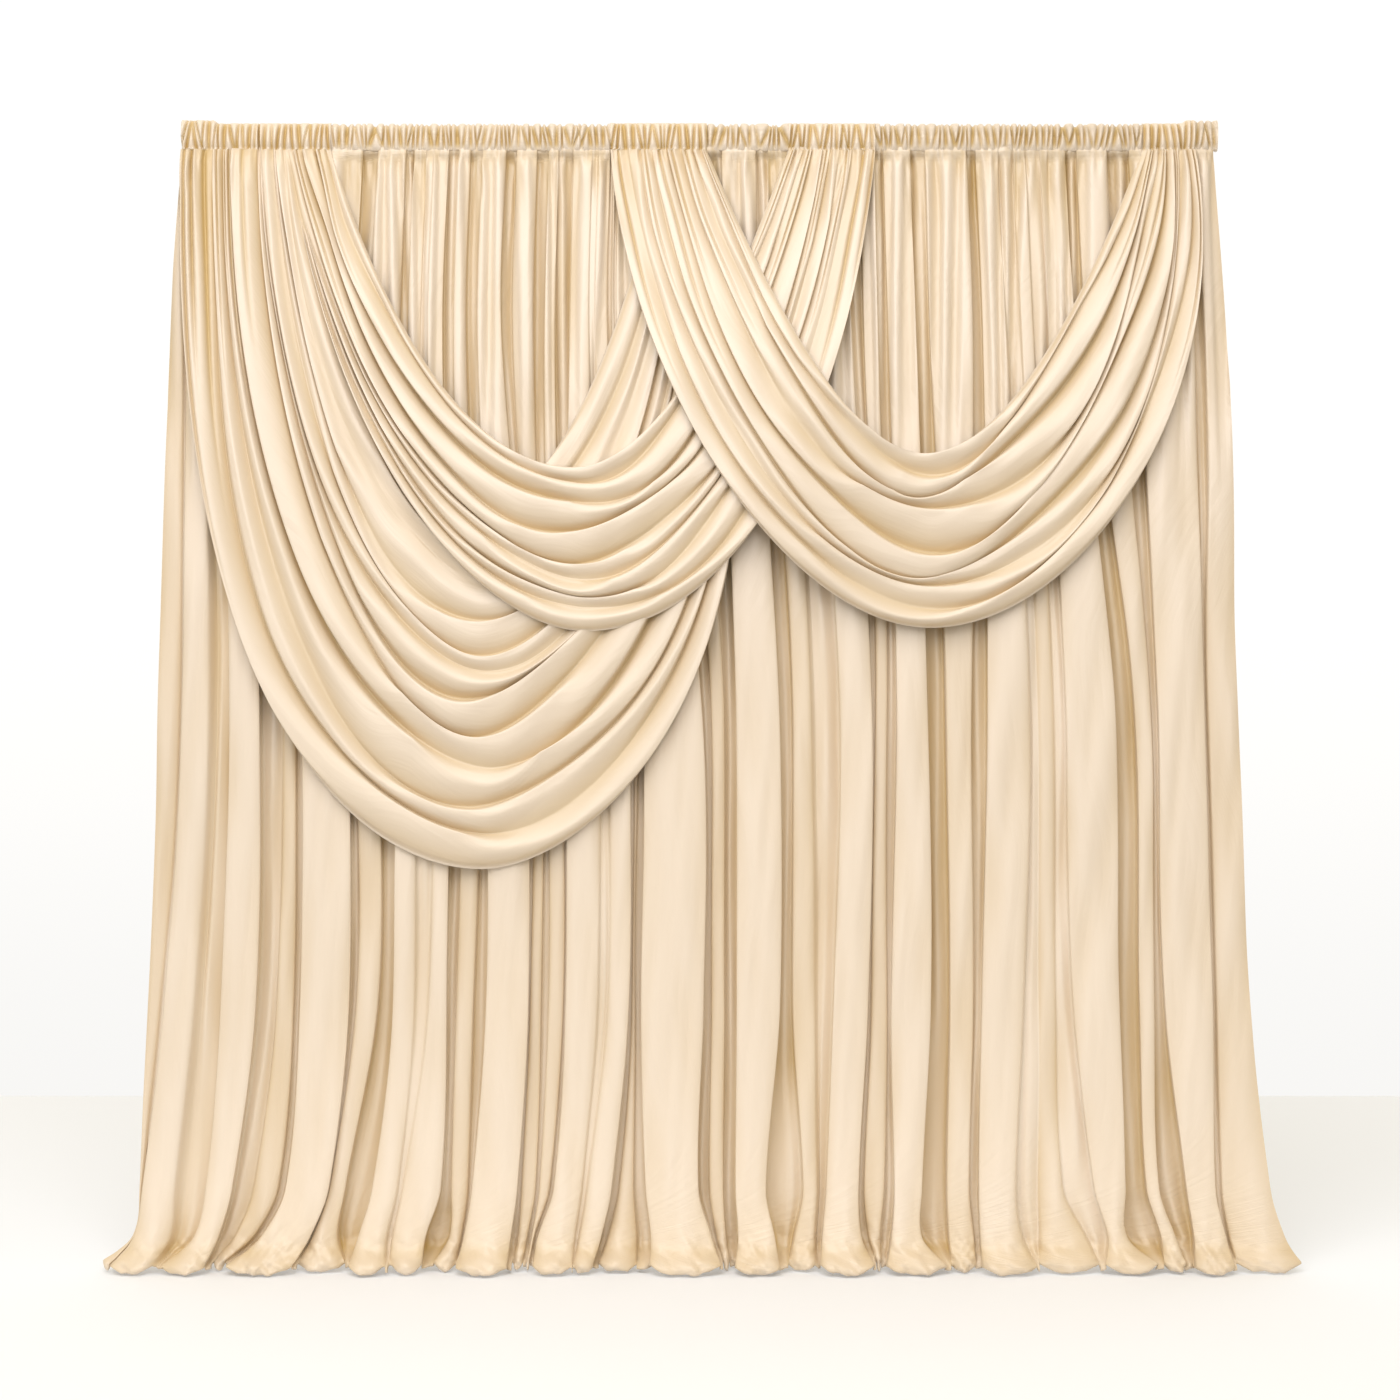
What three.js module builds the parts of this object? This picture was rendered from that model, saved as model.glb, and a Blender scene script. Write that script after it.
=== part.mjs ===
// A draped backdrop: one gathered curtain under a ruched rod-pocket heading, with three swags across its front.
// Millimetres, +X along the rod, +Y to the back, +Z up. The origin is the middle of the rod pocket's axis.
// Heights in the tables are above the floor, and "forward" is the distance in front of the rod's axis.
import * as THREE from "three";

// Driving sizes
const CLOTH = 2.5;
const SEAT = 0.3;
const CLEARANCE = 2;
const HEADING_WIDTH = 2706;
const HEADING_TOP = 3000;
const STITCH_LINE = 2925;
const ROD_AXIS = 2963;

// Heading: the pocket's outside at a gather's crest, from the stitch line round the front, top and back
const POCKET = [
  { forward: 0, height: STITCH_LINE },
  { forward: 23, height: 2941 },
  { forward: 28, height: 2966 },
  { forward: 14, height: HEADING_TOP },
  { forward: -14, height: HEADING_TOP },
  { forward: -28, height: 2966 },
  { forward: -23, height: 2941 },
];
const GATHERS = 48;
const GATHER_PULL = 5;
const GATHER_DRIFT = 9;

// Curtain: the heights at which each fold's left and right edges are given
const EDGE_HEIGHTS = { hem: 40, foot: 90, ankle: 215, knee: 700, waist: 1490, neck: 2450 };
const TOP_DRAW = 0.975;
const FACE_CROWN = 4;
// How much of its full depth a fold has at each height, and how far its foot pushes forward on the floor
const FOLD_DEPTH = { at: [0, 300, 2200, 2600, 2850, STITCH_LINE], share: [1, 1, 1, 0.7, 0.35, 0.06] };
const FOOT_PUSH = { at: [0, 20, 60, 140, 300], push: [38, 40, 28, 10, 0] };
const CURTAIN_ROWS = [STITCH_LINE - SEAT, 2800, 2450, 1900, 1300, 700, 300, 140, 60, 3];

// Each fold of the curtain, from left to right: how far its face stands forward, how far its left and right
// sides tuck in behind the face (less than nothing is a soft slope), the depth of the gully on its right,
// and its face's left and right edges at each height (a foot only where the edge kicks out above the hem)
const FOLDS = [
  { forward: 10, tucks: [0, -8], gully: -25, hem: [-1562, -1478], foot: [-1484, -1470], ankle: [-1468, -1462],
    knee: [-1442, -1410], waist: [-1418, -1362], neck: [-1388, -1352] },
  { forward: 45, tucks: [6, -24], gully: -20, hem: [-1460, -1380], ankle: [-1450, -1380],
    knee: [-1398, -1320], waist: [-1350, -1280], neck: [-1340, -1290] },
  { forward: 45, tucks: [10, 12], gully: -45, hem: [-1318, -1272], ankle: [-1287, -1215],
    knee: [-1252, -1160], waist: [-1228, -1150], neck: [-1240, -1170] },
  { forward: 0, tucks: [-4, -2], gully: -45, hem: [-1225, -1185], ankle: [-1170, -1105],
    knee: [-1110, -1066], waist: [-1092, -1060], neck: [-1130, -1095] },
  { forward: 45, tucks: [12, 12], gully: -40, hem: [-1150, -1042], ankle: [-1072, -975],
    knee: [-1042, -915], waist: [-1040, -918], neck: [-1060, -930] },
  { forward: 12, tucks: [-2, -4], gully: -45, hem: [-1005, -950], ankle: [-955, -910],
    knee: [-903, -846], waist: [-890, -832], neck: [-860, -812] },
  { forward: 45, tucks: [12, -6], gully: 18, hem: [-900, -820], ankle: [-858, -785],
    knee: [-803, -748], waist: [-790, -738], neck: [-768, -714] },
  { forward: 42, tucks: [-6, 12], gully: -45, hem: [-795, -738], ankle: [-760, -687],
    knee: [-706, -660], waist: [-700, -656], neck: [-668, -620] },
  { forward: 8, tucks: [-2, -6], gully: -30, hem: [-685, -632], ankle: [-650, -608],
    knee: [-636, -592], waist: [-628, -582], neck: [-586, -518] },
  { forward: 45, tucks: [10, 12], gully: -40, hem: [-618, -502], ankle: [-595, -475],
    knee: [-562, -452], waist: [-553, -450], neck: [-490, -438] },
  { forward: -4, tucks: [-2, -2], gully: -45, hem: [-490, -458], ankle: [-466, -430],
    knee: [-444, -416], waist: [-440, -412], neck: [-428, -412] },
  { forward: 10, tucks: [-2, 0], gully: -30, hem: [-450, -440], ankle: [-418, -392],
    knee: [-398, -360], waist: [-397, -360], neck: [-403, -378] },
  { forward: 45, tucks: [10, -6], gully: 16, hem: [-430, -345], ankle: [-382, -312],
    knee: [-350, -268], waist: [-348, -266], neck: [-343, -290] },
  { forward: 40, tucks: [-6, 12], gully: -45, hem: [-325, -275], ankle: [-292, -228],
    knee: [-242, -188], waist: [-238, -186], neck: [-272, -243] },
  { forward: 46, tucks: [12, 12], gully: -45, hem: [-115, 33], ankle: [-141, -6],
    knee: [-155, 8], waist: [-150, 4], neck: [-215, -110] },
  { forward: -6, tucks: [0, 0], gully: -48, hem: [55, 82], ankle: [26, 62],
    knee: [28, 62], waist: [28, 62], neck: [-70, -20] },
  { forward: 45, tucks: [12, 12], gully: -45, hem: [102, 200], ankle: [93, 176],
    knee: [93, 206], waist: [96, 208], neck: [60, 150] },
  { forward: 10, tucks: [-3, -14], gully: -15, hem: [262, 292], ankle: [270, 306],
    knee: [243, 300], waist: [243, 290], neck: [182, 232] },
  { forward: 45, tucks: [8, 12], gully: -40, hem: [312, 456], ankle: [330, 414],
    knee: [350, 440], waist: [364, 447], neck: [300, 395] },
  { forward: 8, tucks: [-2, 0], gully: -40, hem: [466, 474], ankle: [428, 480],
    knee: [448, 488], waist: [461, 490], neck: [428, 464] },
  { forward: 45, tucks: [10, 12], gully: -45, hem: [484, 560], ankle: [506, 582],
    knee: [497, 600], waist: [515, 595], neck: [494, 560] },
  { forward: 20, tucks: [-4, 6], gully: -45, hem: [600, 700], ankle: [646, 704],
    knee: [652, 713], waist: [645, 712], neck: [604, 708] },
  { forward: 45, tucks: [12, -10], gully: 0, hem: [728, 838], ankle: [724, 822],
    knee: [738, 845], waist: [750, 858], neck: [742, 798] },
  { forward: 16, tucks: [-6, -8], gully: -15, hem: [888, 960], ankle: [885, 945],
    knee: [890, 930], waist: [884, 920], neck: [836, 870] },
  { forward: 45, tucks: [6, 12], gully: -45, hem: [1060, 1110], ankle: [1026, 1108],
    knee: [976, 1096], waist: [952, 1080], neck: [906, 1020] },
  { forward: 26, tucks: [-2, 8], gully: -45, hem: [1136, 1184], ankle: [1168, 1202],
    knee: [1150, 1188], waist: [1134, 1176], neck: [1060, 1140] },
  { forward: 45, tucks: [10, 8], gully: -25, hem: [1222, 1374], ankle: [1268, 1341],
    knee: [1214, 1338], waist: [1192, 1313], neck: [1180, 1290] },
  { forward: 22, tucks: [-6, 0], gully: 0, hem: [1400, 1562], foot: [1378, 1522], ankle: [1362, 1490],
    knee: [1352, 1438], waist: [1330, 1407], neck: [1318, 1376] },
];

// Swags: every crease is a line that hangs from the heading to a level lowest point and back up to the heading
const STEPS_TO_DIP = 9;
const HANG_FORWARD = 22;
const LIFT_RUN = 260;
const RELIEF_OF_WIDTH = 0.42;
const END_RELIEF = 4;
const END_HEIGHTS = [2996, 2966];
// The bulge of a fold between two creases: where across it, and what share of its full depth
const FOLD_BULGE = [
  { across: 0, share: 0 },
  { across: 0.3, share: 1 },
  { across: 0.7, share: 0.75 },
];

// The rear swag, the widest and deepest. Its right end is behind the front swag's left one.
const SWAG_A = {
  relief: 28,
  dip_x: { upper: -568, lower: -568 },
  hang: {
    left: {
      upper: { lean: 120, drop: 0.5, reach: 0.4 },
      lower: { lean: 0, drop: 0.8, reach: 0.4 },
    },
    right: {
      upper: { lean: -78, drop: 0.5, reach: 0.4 },
      lower: { lean: 336, drop: 0.72, reach: 0.5 },
    },
  },
  lift: { left: 0, dip: 0, right: 0 },
  pinch: { left: 0.5, right: 0 },
  stack: { left: 0, right: 0 },
  creases: [
    { left: -1140, dip: 1995, right: -103 },
    { left: -1143, dip: 1878, right: -92 },
    { left: -1147, dip: 1775, right: -81 },
    { left: -1151, dip: 1681, right: -70 },
    { left: -1156, dip: 1604, right: -62 },
    { left: -1161, dip: 1562, right: -55 },
    { left: -1167, dip: 1498, right: -46 },
    { left: -1180, dip: 1415, right: -36 },
    { left: -1213, dip: 1322, right: -25 },
    { left: -1270, dip: 1208, right: -14 },
    { left: -1312, dip: 1138, right: -4 },
    { left: -1348, dip: 1050, right: 9 },
  ],
};

// The middle swag. It crosses in front of the rear one and behind the front one.
const SWAG_B = {
  relief: 26,
  dip_x: { upper: -329, lower: -295 },
  hang: {
    left: {
      upper: { lean: 143, drop: 0.55, reach: 0.42 },
      lower: { lean: 26, drop: 0.6, reach: 0.5 },
    },
    right: {
      upper: { lean: -156, drop: 0.5, reach: 0.42 },
      lower: { lean: -65, drop: 0.58, reach: 0.5 },
    },
  },
  lift: { left: 34, dip: 34, right: 34 },
  pinch: { left: 0.5, right: 0.5 },
  stack: { left: 0, right: 0 },
  creases: [
    { left: -964, dip: 2093, right: 231 },
    { left: -977, dip: 2057, right: 250 },
    { left: -990, dip: 1985, right: 270 },
    { left: -1008, dip: 1923, right: 292 },
    { left: -1030, dip: 1843, right: 322 },
    { left: -1048, dip: 1810, right: 340 },
    { left: -1070, dip: 1755, right: 365 },
    { left: -1098, dip: 1717, right: 398 },
    { left: -1124, dip: 1668, right: 458 },
  ],
};

// The front swag, on the right. Its left end is gathered over the rear swag's right one.
const SWAG_C = {
  relief: 26,
  dip_x: { upper: 583, lower: 598 },
  hang: {
    left: {
      upper: { lean: 161, drop: 0.5, reach: 0.36 },
      lower: { lean: 41, drop: 0.5, reach: 0.45 },
    },
    right: {
      upper: { lean: -154, drop: 0.5, reach: 0.36 },
      lower: { lean: 102, drop: 0.55, reach: 0.55 },
    },
  },
  lift: { left: 68, dip: 60, right: 12 },
  pinch: { left: 0.5, right: 0.5 },
  stack: { left: CLOTH + SEAT, right: 0 },
  creases: [
    { left: 18, dip: 2128, right: 1155 },
    { left: 2, dip: 2087, right: 1168 },
    { left: -18, dip: 2023, right: 1183 },
    { left: -48, dip: 1964, right: 1199 },
    { left: -85, dip: 1887, right: 1216 },
    { left: -125, dip: 1810, right: 1235 },
    { left: -155, dip: 1775, right: 1250 },
    { left: -188, dip: 1731, right: 1270 },
    { left: -234, dip: 1677, right: 1292 },
  ],
};

const CREAM = { curtain: 0xefdec4, heading: 0xead7bb, swag: 0xf3e3ca };

// A smooth curve through values given at rising places, level beyond both ends
function smooth(at, values, place) {
  const last = at.length - 1;
  if (place <= at[0]) return values[0];
  if (place >= at[last]) return values[last];
  const i = at.findIndex((edge) => edge > place) - 1;
  const slope = (k) => {
    const low = Math.max(k - 1, 0);
    const high = Math.min(k + 1, last);
    return (values[high] - values[low]) / (at[high] - at[low]);
  };
  const run = at[i + 1] - at[i];
  const t = (place - at[i]) / run;
  const rise = t * t * (3 - 2 * t);
  return (
    values[i] * (1 - rise) +
    values[i + 1] * rise +
    slope(i) * run * t * (1 - t) * (1 - t) -
    slope(i + 1) * run * t * t * (1 - t)
  );
}

// From 0 to 1 with level ends
function ease(t) {
  const held = THREE.MathUtils.clamp(t, 0, 1);
  return held * held * (3 - 2 * held);
}

// A point given across the backdrop, forward of the rod and above the floor
function at(across, forward, height) {
  return new THREE.Vector3(across, -forward, height - ROD_AXIS);
}

function closedGeometry(corners, faces) {
  const geometry = new THREE.BufferGeometry();
  geometry.setAttribute("position", new THREE.Float32BufferAttribute(corners.flatMap((p) => p.toArray()), 3));
  geometry.setIndex(faces.flat());
  geometry.computeVertexNormals();
  return geometry;
}

// A sheet of cloth with its thickness, from a grid of points whose rows run down it and columns to the right
function sheet(grid) {
  const rows = grid.length;
  const columns = grid[0].length;
  const point = (i, j) => grid[THREE.MathUtils.clamp(i, 0, rows - 1)][THREE.MathUtils.clamp(j, 0, columns - 1)];
  const front = [];
  const back = [];
  for (let i = 0; i < rows; i++) {
    for (let j = 0; j < columns; j++) {
      const right = point(i, j + 1).clone().sub(point(i, j - 1));
      const down = point(i + 1, j).clone().sub(point(i - 1, j));
      const behind = right.cross(down).normalize();
      front.push(point(i, j).clone().addScaledVector(behind, -CLOTH / 2));
      back.push(point(i, j).clone().addScaledVector(behind, CLOTH / 2));
    }
  }
  const f = (i, j) => i * columns + j;
  const b = (i, j) => rows * columns + i * columns + j;
  const faces = [];
  const quad = (p, q, r, s) => faces.push([p, q, r], [p, r, s]);
  for (let i = 0; i < rows - 1; i++) {
    for (let j = 0; j < columns - 1; j++) {
      quad(f(i, j), f(i + 1, j), f(i + 1, j + 1), f(i, j + 1));
      quad(b(i, j), b(i, j + 1), b(i + 1, j + 1), b(i + 1, j));
    }
  }
  for (let j = 0; j < columns - 1; j++) {
    quad(f(0, j), f(0, j + 1), b(0, j + 1), b(0, j));
    quad(f(rows - 1, j + 1), f(rows - 1, j), b(rows - 1, j), b(rows - 1, j + 1));
  }
  for (let i = 0; i < rows - 1; i++) {
    quad(f(i + 1, 0), f(i, 0), b(i, 0), b(i + 1, 0));
    quad(f(i, columns - 1), f(i + 1, columns - 1), b(i + 1, columns - 1), b(i, columns - 1));
  }
  return closedGeometry(front.concat(back), faces);
}

// The heading: a pocket for a rod, open at both ends, drawn up into uneven gathers
function headingGeometry() {
  const stations = 2 * GATHERS;
  const sides = POCKET.length;
  const corners = [];
  for (let k = 0; k <= stations; k++) {
    const drift = k === 0 || k === stations ? 0 : GATHER_DRIFT * Math.sin(1.9 * k);
    const across = (k / stations - 0.5) * HEADING_WIDTH + drift;
    const pull = (k % 2) * (GATHER_PULL + Math.sin(2.3 * k));
    for (const inset of [pull, pull + CLOTH]) {
      for (const { forward, height } of POCKET) {
        const arm = Math.hypot(forward, height - ROD_AXIS);
        const keep = 1 - inset / arm;
        corners.push(at(across, forward * keep, ROD_AXIS + (height - ROD_AXIS) * keep));
      }
    }
  }
  const outer = (k, s) => 2 * k * sides + (s % sides);
  const inner = (k, s) => (2 * k + 1) * sides + (s % sides);
  const faces = [];
  const quad = (p, q, r, s) => faces.push([p, q, r], [p, r, s]);
  for (let s = 0; s < sides; s++) {
    for (let k = 0; k < stations; k++) {
      quad(outer(k, s), outer(k + 1, s), outer(k + 1, s + 1), outer(k, s + 1));
      quad(inner(k, s), inner(k, s + 1), inner(k + 1, s + 1), inner(k + 1, s));
    }
    quad(outer(0, s), outer(0, s + 1), inner(0, s + 1), inner(0, s));
    quad(outer(stations, s + 1), outer(stations, s), inner(stations, s), inner(stations, s + 1));
  }
  return closedGeometry(corners, faces);
}

function foldDepth(height) {
  return smooth(FOLD_DEPTH.at, FOLD_DEPTH.share, height);
}

function foldEdges(fold, height) {
  const given = Object.keys(EDGE_HEIGHTS).filter((name) => name in fold);
  const heights = given.map((name) => EDGE_HEIGHTS[name]).concat(STITCH_LINE);
  return [0, 1].map((side) => {
    const places = given.map((name) => fold[name][side]);
    return smooth(heights, places.concat(fold.neck[side] * TOP_DRAW), height);
  });
}

// The curtain's line across at one height: each fold's face, and the gully that it tucks back into on each side
function curtainRow(height) {
  const depth = foldDepth(height);
  const push = smooth(FOOT_PUSH.at, FOOT_PUSH.push, height);
  const row = [];
  FOLDS.forEach((fold, i) => {
    const [left, right] = foldEdges(fold, height);
    const face = fold.forward * depth + push;
    if (i > 0) row.push(at(left + fold.tucks[0] * depth, FOLDS[i - 1].gully * depth, height));
    row.push(at(left, face, height));
    row.push(at((left + right) / 2, face + FACE_CROWN * depth, height));
    row.push(at(right, face, height));
    if (i < FOLDS.length - 1) row.push(at(right - fold.tucks[1] * depth, fold.gully * depth, height));
  });
  return row;
}

// How far forward a swag hangs so that it clears the curtain's folds
function clearOfCurtain(height) {
  const face = Math.max(...FOLDS.map((fold) => fold.forward)) + FACE_CROWN;
  return Math.max(HANG_FORWARD, face * foldDepth(height) + CLEARANCE + CLOTH);
}

// The front of the pocket at a gather's crest
function pocketFront(height) {
  const front = POCKET.filter((corner) => corner.forward >= 0);
  return smooth(front.map((corner) => corner.height), front.map((corner) => corner.forward), height);
}

// A place on a crease: side is left or right, t runs from 0 at the heading to 1 at the lowest point
function creasePlace(swag, crease, side, t) {
  const first = swag.creases[0].dip;
  const down = (first - crease.dip) / (first - swag.creases[swag.creases.length - 1].dip);
  const mix = (pair) => THREE.MathUtils.lerp(pair.upper, pair.lower, down);
  const { upper, lower } = swag.hang[side];
  const part = (name) => mix({ upper: upper[name], lower: lower[name] });
  const dipX = mix(swag.dip_x);
  const top = new THREE.Vector2(crease[side], STITCH_LINE);
  const bottom = new THREE.Vector2(dipX, crease.dip);
  const fall = new THREE.Vector2(part("lean"), -part("drop") * (STITCH_LINE - crease.dip)).add(top);
  const level = new THREE.Vector2((crease[side] - dipX) * part("reach"), 0).add(bottom);
  return new THREE.CubicBezierCurve(top, fall, level, bottom).getPoint(t);
}

// One line across a swag from its upper to its lower edge, at t on one side
function swagLine(swag, side, t) {
  const places = swag.creases.map((crease) => creasePlace(swag, crease, side, t));
  const lift = THREE.MathUtils.lerp(swag.lift[side], swag.lift.dip, ease(t));
  const line = [];
  const add = (place, relief) => {
    const drawn = ease((STITCH_LINE - place.y) / LIFT_RUN);
    const opened = THREE.MathUtils.lerp(swag.pinch[side], 1, drawn);
    const stand = clearOfCurtain(place.y) + swag.stack[side] * (1 - ease(t)) + lift * drawn;
    line.push(at(place.x, stand + relief * opened, place.y));
  };
  places.slice(0, -1).forEach((place, i) => {
    const next = places[i + 1];
    const relief = Math.min(swag.relief, place.distanceTo(next) * RELIEF_OF_WIDTH);
    FOLD_BULGE.forEach(({ across, share }) => add(place.clone().lerp(next, across), relief * share));
  });
  add(places[places.length - 1], 0);
  return line;
}

// The gathered end of a swag, flat at its top edge, sewn over the front of the heading
function swagEnd(swag, side, height) {
  const full = height === END_HEIGHTS[0] ? 0 : END_RELIEF * Math.ceil(swag.pinch[side]);
  const seat = pocketFront(height) + SEAT + CLOTH * 0.6 + swag.stack[side];
  const places = swag.creases.map((crease) => crease[side]);
  const line = [];
  places.slice(0, -1).forEach((place, i) => {
    for (const { across, share } of FOLD_BULGE) {
      line.push(at(THREE.MathUtils.lerp(place, places[i + 1], across), seat + full * share, height));
    }
  });
  line.push(at(places[places.length - 1], seat, height));
  return line;
}

function swagGeometry(swag) {
  const steps = Array.from({ length: STEPS_TO_DIP + 1 }, (_, k) => k / STEPS_TO_DIP);
  const lines = [
    ...END_HEIGHTS.map((height) => swagEnd(swag, "left", height)),
    ...steps.map((t) => swagLine(swag, "left", t)),
    ...steps.slice(0, -1).reverse().map((t) => swagLine(swag, "right", t)),
    ...END_HEIGHTS.slice().reverse().map((height) => swagEnd(swag, "right", height)),
  ];
  const across = lines[0].length;
  return sheet(Array.from({ length: across }, (_, row) => lines.map((line) => line[row])));
}

function clothMesh(name, geometry, colour) {
  const material = new THREE.MeshStandardMaterial({ color: colour, roughness: 0.85, metalness: 0 });
  const mesh = new THREE.Mesh(geometry, material);
  mesh.name = name;
  return mesh;
}

const backdrop = new THREE.Group();
backdrop.add(clothMesh("heading", headingGeometry(), CREAM.heading));
backdrop.add(clothMesh("curtain", sheet(CURTAIN_ROWS.map(curtainRow)), CREAM.curtain));
backdrop.add(clothMesh("swag_a", swagGeometry(SWAG_A), CREAM.swag));
backdrop.add(clothMesh("swag_b", swagGeometry(SWAG_B), CREAM.swag));
backdrop.add(clothMesh("swag_c", swagGeometry(SWAG_C), CREAM.swag));

export default backdrop;
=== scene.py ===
import math

import bpy
import numpy as np
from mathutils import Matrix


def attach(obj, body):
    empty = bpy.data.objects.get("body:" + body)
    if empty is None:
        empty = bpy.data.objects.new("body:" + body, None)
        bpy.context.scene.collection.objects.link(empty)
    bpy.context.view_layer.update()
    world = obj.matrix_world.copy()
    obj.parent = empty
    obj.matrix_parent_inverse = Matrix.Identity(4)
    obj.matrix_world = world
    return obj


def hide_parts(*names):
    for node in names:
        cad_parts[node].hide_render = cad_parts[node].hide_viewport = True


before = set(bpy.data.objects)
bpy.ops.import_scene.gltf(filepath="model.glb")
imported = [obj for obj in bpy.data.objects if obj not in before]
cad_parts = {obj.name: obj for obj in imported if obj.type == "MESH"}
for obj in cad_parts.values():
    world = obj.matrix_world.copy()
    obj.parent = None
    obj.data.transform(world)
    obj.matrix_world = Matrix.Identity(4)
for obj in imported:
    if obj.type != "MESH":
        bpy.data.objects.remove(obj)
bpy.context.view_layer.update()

# Heading. The top of the curtain is turned over and stitched down into a pocket for a rod, and drawn up on it,
# so the pocket is a tube of cloth in narrow uneven gathers, puckered along its stitch line and open at both ends.
# Sizes are in millimetres: across to the right, forward of the rod's axis, and height above the floor.
ROD_AXIS = 2963
STITCH_LINE = 2925
HEADING_TOP = 3000
HEADING_WIDTH = 2706
POCKET_HEIGHT = HEADING_TOP - STITCH_LINE
POCKET_MIDDLE = 2960
POCKET_FRONT = {
    "height": [2925, 2929, 2936, 2950, 2966, 2982, 2993, 3000],
    "forward": [10, 14, 18, 22, 23, 22, 16, 4],
}
POCKET_RINGS = [2925, 2927, 2930, 2935, 2941, 2950, 2958, 2966, 2975, 2984, 2991, 2996, 2999, HEADING_TOP]
POCKET_COLUMNS = 2401
PUCKER_HEIGHT = 14
GATHERS = 185
GATHER_DEPTH = (12, 28)
GATHER_LEAN = 0.14
GATHER_LIMIT = 17
# A gather drawn in this far gets the full painted shade.
GATHER_DEEP = 10.5
TOP_BAND = 25
PLEAT_LENGTH = (22, 192)
PLEAT_LIMIT = 12
END_BUNCH = {"from": 1258, "over": 16, "rise": 8}


def smooth_through(at, values, place):
    """A smooth curve through values given at rising places, level beyond both ends."""
    at, values = np.asarray(at, float), np.asarray(values, float)
    place = np.clip(place, at[0], at[-1])
    i = np.clip(np.searchsorted(at, place, side="right") - 1, 0, len(at) - 2)
    slope = np.gradient(values) / np.gradient(at)
    run = at[i + 1] - at[i]
    t = (place - at[i]) / run
    rise = t * t * (3 - 2 * t)
    bend = slope[i] * t * (1 - t) ** 2 - slope[i + 1] * t * t * (1 - t)
    return values[i] * (1 - rise) + values[i + 1] * rise + run * bend


def ease(t):
    """From 0 to 1 with level ends."""
    t = np.clip(t, 0, 1)
    return t * t * (3 - 2 * t)


def drift(seed, along, across):
    """Slow uneven waves between about -1 and 1, the same on every run."""
    turns = np.random.default_rng(seed)
    total = 0
    for _ in range(5):
        a, b = turns.uniform(0.5, 1.6, 2) * turns.choice([-1, 1], 2)
        total = total + np.sin(2 * np.pi * (a * along + b * across + turns.random()))
    return total / 3


def corners(grid):
    """The four corners of each face of a grid, in order round the face as seen from the front."""
    return np.stack([grid[:-1, :-1], grid[1:, :-1], grid[1:, 1:], grid[:-1, 1:]], axis=2)


def cloth_piece(name, across, forward, height, painted_shade, tube=False, grain="down"):
    """A sheet of cloth on a grid of points, whose rows run down it and columns to the right. The fourth grid gives
    each point's painted shade, from 0 to 1: how far its colour is darkened as shade in folds, gathers and along the
    hem."""
    grid = np.stack([across, -forward, height - ROD_AXIS], axis=-1) / 1000
    rows, columns = grid.shape[:2]
    place = np.arange(rows * columns).reshape(rows, columns)
    if tube:
        place = np.vstack([place, place[:1]])
        grid = np.vstack([grid, grid[:1]])
    mesh = bpy.data.meshes.new(name)
    mesh.from_pydata(grid[:rows].reshape(-1, 3).tolist(), [], corners(place).reshape(-1, 4).tolist())
    right = np.linalg.norm(np.diff(grid, axis=1, prepend=grid[:, :1]), axis=2).cumsum(axis=1)
    down = np.linalg.norm(np.diff(grid, axis=0, prepend=grid[:1]), axis=2).cumsum(axis=0)
    weave = np.stack([right, down] if grain == "down" else [down, right], axis=-1)
    mesh.uv_layers.new(name="cloth").uv.foreach_set("vector", corners(weave).astype(np.float32).ravel())
    folds = mesh.attributes.new("painted_shade", "FLOAT", "POINT")
    folds.data.foreach_set("value", np.clip(painted_shade, 0, 1).astype(np.float32).ravel())
    piece = bpy.data.objects.new(name, mesh)
    bpy.context.scene.collection.objects.link(piece)
    bpy.ops.object.select_all(action="DESELECT")
    piece.select_set(True)
    bpy.context.view_layer.objects.active = piece
    bpy.ops.object.shade_smooth()
    return piece


class Shade:
    """A value in a material's nodes, so that shader maths reads as arithmetic."""

    def __init__(self, tree, socket=None):
        self.tree, self.socket = tree, socket

    def node(self, kind, settings=None, inputs=None, output=0):
        made = self.tree.nodes.new(kind)
        for name, value in (settings or {}).items():
            setattr(made, name, value)
        for name, value in (inputs or {}).items():
            if isinstance(value, Shade):
                self.tree.links.new(value.socket, made.inputs[name])
            else:
                made.inputs[name].default_value = value
        return Shade(self.tree, made.outputs[output])

    def maths(self, operation, first, second):
        return self.node("ShaderNodeMath", {"operation": operation}, {0: first, 1: second})

    def __add__(self, other):
        return self.maths("ADD", self, other)

    def __sub__(self, other):
        return self.maths("SUBTRACT", self, other)

    def __rsub__(self, other):
        return self.maths("SUBTRACT", other, self)

    def __mul__(self, other):
        return self.maths("MULTIPLY", self, other)

    __radd__ = __add__
    __rmul__ = __mul__


# The cloth is a stretch polyester with a soft silky face: fine ribs along its length and faint slubs across it.
# Its colour is painted darker and warmer in folds, gathers, creases and along the hem, as painted shade.
CREAM = (0.755, 0.655, 0.543, 1)
SHADE_CREAM = (0.735, 0.63, 0.508, 1)
PAINTED_SHADE_CREAM = (0.515, 0.34, 0.085, 1)
PAINTED_SHADE_MOST = 0.85


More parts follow.
